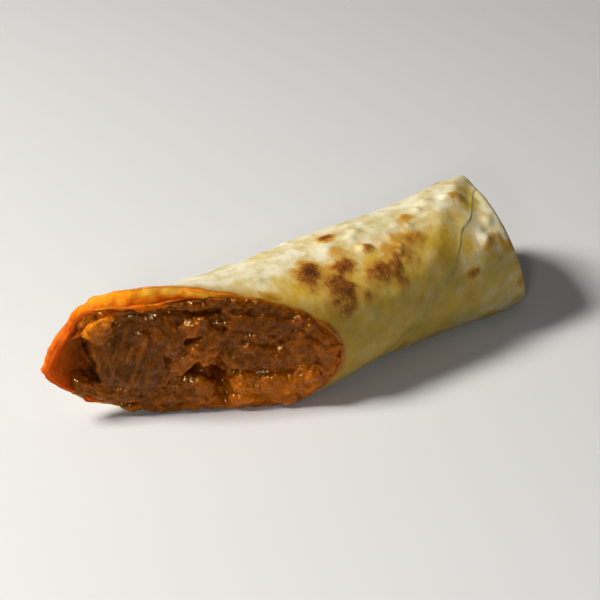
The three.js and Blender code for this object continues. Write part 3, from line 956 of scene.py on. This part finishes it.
heap[:, 2] = AXIS_HEIGHT + (heap[:, 2] - AXIS_HEIGHT) * squeeze
place_points(filling, heap)
# How deep each crease of the filling is, kept only to paint shade into the creases.
hollow = np.sum((evened(filling, heap, 40) - heap) * normals_of(filling), axis=1)
keep_layer(filling, "bare", bare)
keep_layer(filling, "fibre", fibre)
keep_layer(filling, "hollow", evened(filling, np.clip(hollow / 1.2, -1, 1), 4)[:, 0])
keep_layer(filling, "orange", evened(filling, orange, 36)[:, 0])

butter_sauce, butter_sauce_shader, wire = new_material("butter_sauce", {
    "Subsurface Weight": 0.4, "Subsurface Radius": (1.0, 0.6, 0.3), "Subsurface Scale": 0.002,
    "IOR": 1.36, "Specular Tint": (1.0, 0.58, 0.2, 1)})
crease_shade_layer = wire.layer("hollow")
patch = wire.lumps(5, 2, 0.5) - 0.5
fleck = wire.lumps(0.9, 2, 0.6)
granule = wire.lumps(1.9, 3, 0.6) - 0.5
fine = wire.lumps(0.6, 2, 0.6) - 0.5
# Painted shade: creases get a less orange colour here and a darker one in the mix further down.
how_orange = wire.layer("orange") + patch * 0.5 + granule * 0.6 + fine * 0.5 - crease_shade_layer * 0.3
food = wire.node("ShaderNodeValToRGB", {"stops": [
    (0.0, shade(78, 36, 1)), (0.3, shade(121, 60, 2)),
    (0.6, shade(172, 90, 4)), (1.0, shade(240, 138, 16))]}, {"Fac": how_orange})
strand = wire.layer("fibre")
# The strands are lighter on their ridges and darker in their grooves: partly the meat's own streaks, partly
# painted light and shade on that relief.
food = (strand.between(0.02, 0.45) * 0.4).mix(food, shade(164, 92, 16))
food = ((0 - strand).between(0.02, 0.45) * 0.45).mix(food, shade(72, 31, 2))
# Painted shade: darker in the creases and hollows of the filling.
food = (crease_shade_layer.between(0.3, 1) * 0.55).mix(food, shade(50, 20, 2))
food = (fleck.between(0.68, 0.75) * 0.4).mix(food, shade(110, 34, 4))
plug(butter_sauce_shader, {
    "Base Color": food,
    "Roughness": 0.05 + wire.lumps(3, 2) * 0.18 + wire.layer("bare") * 0.15,
    "Normal": wire.bump(wire.lumps(1.6, 1, 0.4) + wire.lumps(0.7, 2, 0.5) * 0.5, 0.3, 0.5)})
filling.data.materials.append(butter_sauce)
bpy.ops.object.shade_smooth()
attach(filling, "root")
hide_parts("filling")

# Studio
# A plain pale floor, a soft light behind and above, and a weak one in front. A third light has no effect on
# the colours and only shows as a sheen on wet things.
bpy.ops.object.select_all(action="DESELECT")
bpy.ops.mesh.primitive_plane_add(size=6, location=(0, 0, 0))
studio_floor = bpy.context.object
studio_floor.name = "studio_floor"
floor_paint, floor_shader, wire = new_material("pale_floor", {"Roughness": 0.9, "Specular IOR Level": 0.1})
plug(floor_shader, {"Base Color": wire.lumps(400, 1).mix(shade(214, 214, 214), shade(219, 219, 219))})
studio_floor.data.materials.append(floor_paint)

sky = bpy.data.worlds.new("studio_sky")
sky.use_nodes = True
sky.node_tree.nodes["Background"].inputs["Color"].default_value = (1, 1, 1, 1)
sky.node_tree.nodes["Background"].inputs["Strength"].default_value = 0.08
bpy.context.scene.world = sky


def add_softbox(name, place, aim, width, watts, tint, sheen_only=False):
    light = bpy.data.lights.new(name, "AREA")
    light.shape = "SQUARE"
    light.size = width
    light.energy = watts
    light.color = tint
    lamp = bpy.data.objects.new(name, light)
    bpy.context.scene.collection.objects.link(lamp)
    lamp.visible_diffuse = not sheen_only
    lamp.location = place
    lamp.rotation_euler = (Vector(aim) - Vector(place)).to_track_quat("-Z", "Y").to_euler()


ROLL_MIDDLE = (0, 0, 0.02)
CUT_FACE = (-0.04, 0, 0.02)
add_softbox("window_light", (-0.64, 0.27, 0.72), ROLL_MIDDLE, 0.25, 13, (1.0, 0.97, 0.92))
add_softbox("front_light", (-0.6, -0.6, 0.42), ROLL_MIDDLE, 0.08, 1.3, (1.0, 1.0, 1.0))
add_softbox("sheen_light", (-0.75, -0.35, 0.55), CUT_FACE, 0.2, 18, (0.5, 0.7, 1.0), sheen_only=True)

# Camera
# A long lens from in front, to the left of the cut and above it, where the photo was taken from.
AIM = Vector((-0.0059, 0, 0.0251))
DISTANCE = 0.5766
VIEW_FROM = Vector((-0.5159, -0.6846, 0.5150))
camera = bpy.data.cameras.new("camera")
camera.sensor_width = 36
camera.lens = 115.3
viewer = bpy.data.objects.new("camera", camera)
bpy.context.scene.collection.objects.link(viewer)
viewer.location = AIM + DISTANCE * VIEW_FROM
viewer.rotation_euler = (AIM - viewer.location).to_track_quat("-Z", "Y").to_euler()
bpy.context.scene.camera = viewer
bpy.context.scene.view_settings.view_transform = "Standard"
